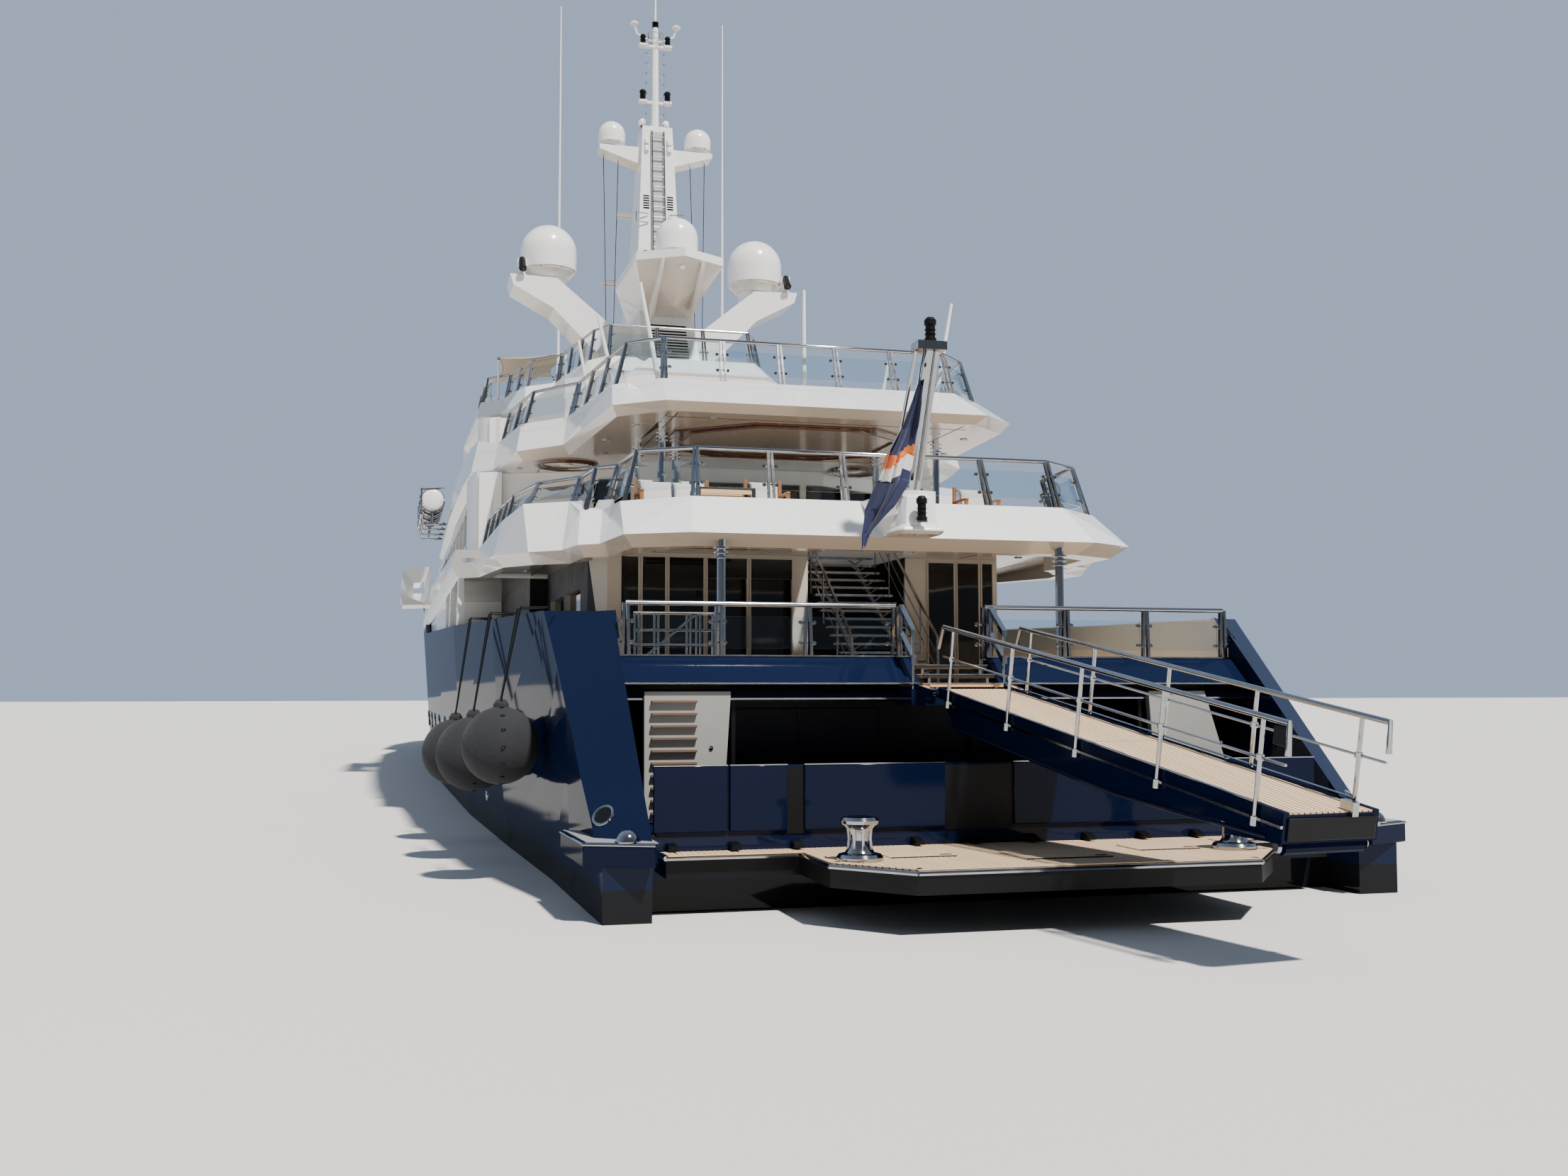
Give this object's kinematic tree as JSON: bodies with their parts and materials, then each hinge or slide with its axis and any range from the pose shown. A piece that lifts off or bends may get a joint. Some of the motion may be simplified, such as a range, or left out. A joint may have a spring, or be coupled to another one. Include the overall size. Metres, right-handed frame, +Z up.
{
  "type": "motor yacht, 1:10 scale model",
  "caption": "Large motor yacht as a 1:10 model: faceted hull and decks, domed mast, stern gangway, turning propellers, rudders and radar bars.",
  "frame": {"origin": "on the centreline amidships, at the waterline", "axes": "X to the bow, Y to port, Z up"},
  "size_m": [8.4792, 1.539, 3.09],
  "materials": {
    "navy_paint": "high gloss metallic navy",
    "white_paint": "gloss white",
    "beige_paint": "satin beige",
    "dark_glass": "dark tinted",
    "steel": "polished",
    "teak": "scrubbed teak planks",
    "bronze": "cast and ground",
    "antifouling": "matt",
    "clear_glass": "clear balustrade glass",
    "beige_cloth": "woven awning cloth",
    "ensign_cloth": "woven flag cloth",
    "fender_rubber": "covered in dark pile cloth"
  },
  "bodies": {
    "root": {"hull": "navy_paint", "topside_band": "white_paint", "upper_deck": "white_paint", "bridge_deck": "white_paint", "sun_deck": "white_paint", "upper_house": "white_paint", "bridge_house": "white_paint", "mast_tower": "white_paint", "aft_dome": "white_paint", "large_dome_port": "white_paint", "large_dome_stbd": "white_paint", "small_dome_port": "white_paint", "small_dome_stbd": "white_paint", "main_house": "beige_paint", "main_windows": "dark_glass", "upper_windows": "dark_glass", "bridge_windows": "dark_glass", "main_rail_port": "steel", "main_rail_stbd": "steel", "upper_rail": "steel", "bridge_rail": "steel", "sun_rail": "steel", "ensign_staff": "steel", "capstan_port": "steel", "capstan_stbd": "steel", "swim_platform": "teak", "shaft_bracket_port": "bronze", "shaft_bracket_stbd": "bronze", "bridge_bulwark": "white_paint", "aft_stair": "teak", "upper_glass": "clear_glass", "bridge_glass": "clear_glass", "ensign": "ensign_cloth", "sun_shade": "beige_cloth", "fender_1": "fender_rubber", "fender_2": "fender_rubber", "fender_3": "fender_rubber", "raft_port": "white_paint", "raft_stbd": "white_paint", "side_balcony": "white_paint", "windlass": "steel", "upper_sofa": "beige_cloth", "upper_chair_port": "beige_cloth", "upper_chair_stbd": "beige_cloth", "upper_table": "teak"},
    "rudder_port": {"rudder_port": "antifouling"},
    "rudder_stbd": {"rudder_stbd": "antifouling"},
    "propeller_port": {"propeller_port": "bronze"},
    "propeller_stbd": {"propeller_stbd": "bronze"},
    "stabiliser_port": {"stabiliser_port": "antifouling"},
    "stabiliser_stbd": {"stabiliser_stbd": "antifouling"},
    "scanner_high": {"scanner_high": "white_paint"},
    "scanner_low": {"scanner_low": "white_paint"},
    "gangway": {"gangway_deck": "teak", "gangway_rail_port": "steel", "gangway_rail_stbd": "steel"},
    "transom_flap": {"transom_flap": "navy_paint"},
    "saloon_door_port": {"saloon_door_port": "dark_glass"},
    "saloon_door_stbd": {"saloon_door_stbd": "dark_glass"}
  },
  "joints": [
    {"name": "rudder_turn_port", "type": "hinge", "parent": "root", "child": "rudder_port", "pos_m": [-3.34, 0.26, -0.2], "axis": [0, 0, 1], "range_deg": [-35, 35]},
    {"name": "propeller_spin_port", "type": "hinge", "parent": "root", "child": "propeller_port", "pos_m": [-2.96, 0.26, -0.255], "axis": [1, 0, 0], "continuous": true},
    {"name": "stabiliser_turn_port", "type": "hinge", "parent": "root", "child": "stabiliser_port", "pos_m": [-0.2, 0.56525, -0.2301], "axis": [0, 0.7423, -0.6701], "range_deg": [-20, 20]},
    {"name": "saloon_slide_port", "type": "slide", "parent": "root", "child": "saloon_door_port", "axis": [0, 1, 0], "range_m": [0, 0.09]},
    {"name": "rudder_turn_stbd", "type": "hinge", "parent": "root", "child": "rudder_stbd", "pos_m": [-3.34, -0.26, -0.2], "axis": [0, 0, 1], "range_deg": [-35, 35]},
    {"name": "propeller_spin_stbd", "type": "hinge", "parent": "root", "child": "propeller_stbd", "pos_m": [-2.96, -0.26, -0.255], "axis": [1, 0, 0], "continuous": true},
    {"name": "stabiliser_turn_stbd", "type": "hinge", "parent": "root", "child": "stabiliser_stbd", "pos_m": [-0.2, -0.56525, -0.2301], "axis": [0, -0.7423, -0.6701], "range_deg": [-20, 20]},
    {"name": "saloon_slide_stbd", "type": "slide", "parent": "root", "child": "saloon_door_stbd", "axis": [0, 1, 0], "range_m": [0, 0.18]},
    {"name": "scanner_high_spin", "type": "hinge", "parent": "root", "child": "scanner_high", "pos_m": [-0.735, 0, 1.94], "axis": [0, 0, 1], "continuous": true},
    {"name": "scanner_low_spin", "type": "hinge", "parent": "root", "child": "scanner_low", "pos_m": [-0.65, 0, 1.72], "axis": [0, 0, 1], "continuous": true},
    {"name": "gangway_lift", "type": "hinge", "parent": "root", "child": "gangway", "pos_m": [-3.713, -0.0104, 0.289], "axis": [-0.1217, 0.9926, 0], "range_deg": [-5, 12]},
    {"name": "transom_fold", "type": "hinge", "parent": "root", "child": "transom_flap", "pos_m": [-3.836, 0, 0.102], "axis": [0, -1, 0], "range_deg": [0, 90]}
  ],
  "couplings": [
    {"joint": "rudder_turn_stbd", "follows": "rudder_turn_port", "ratio": 1}
  ]
}
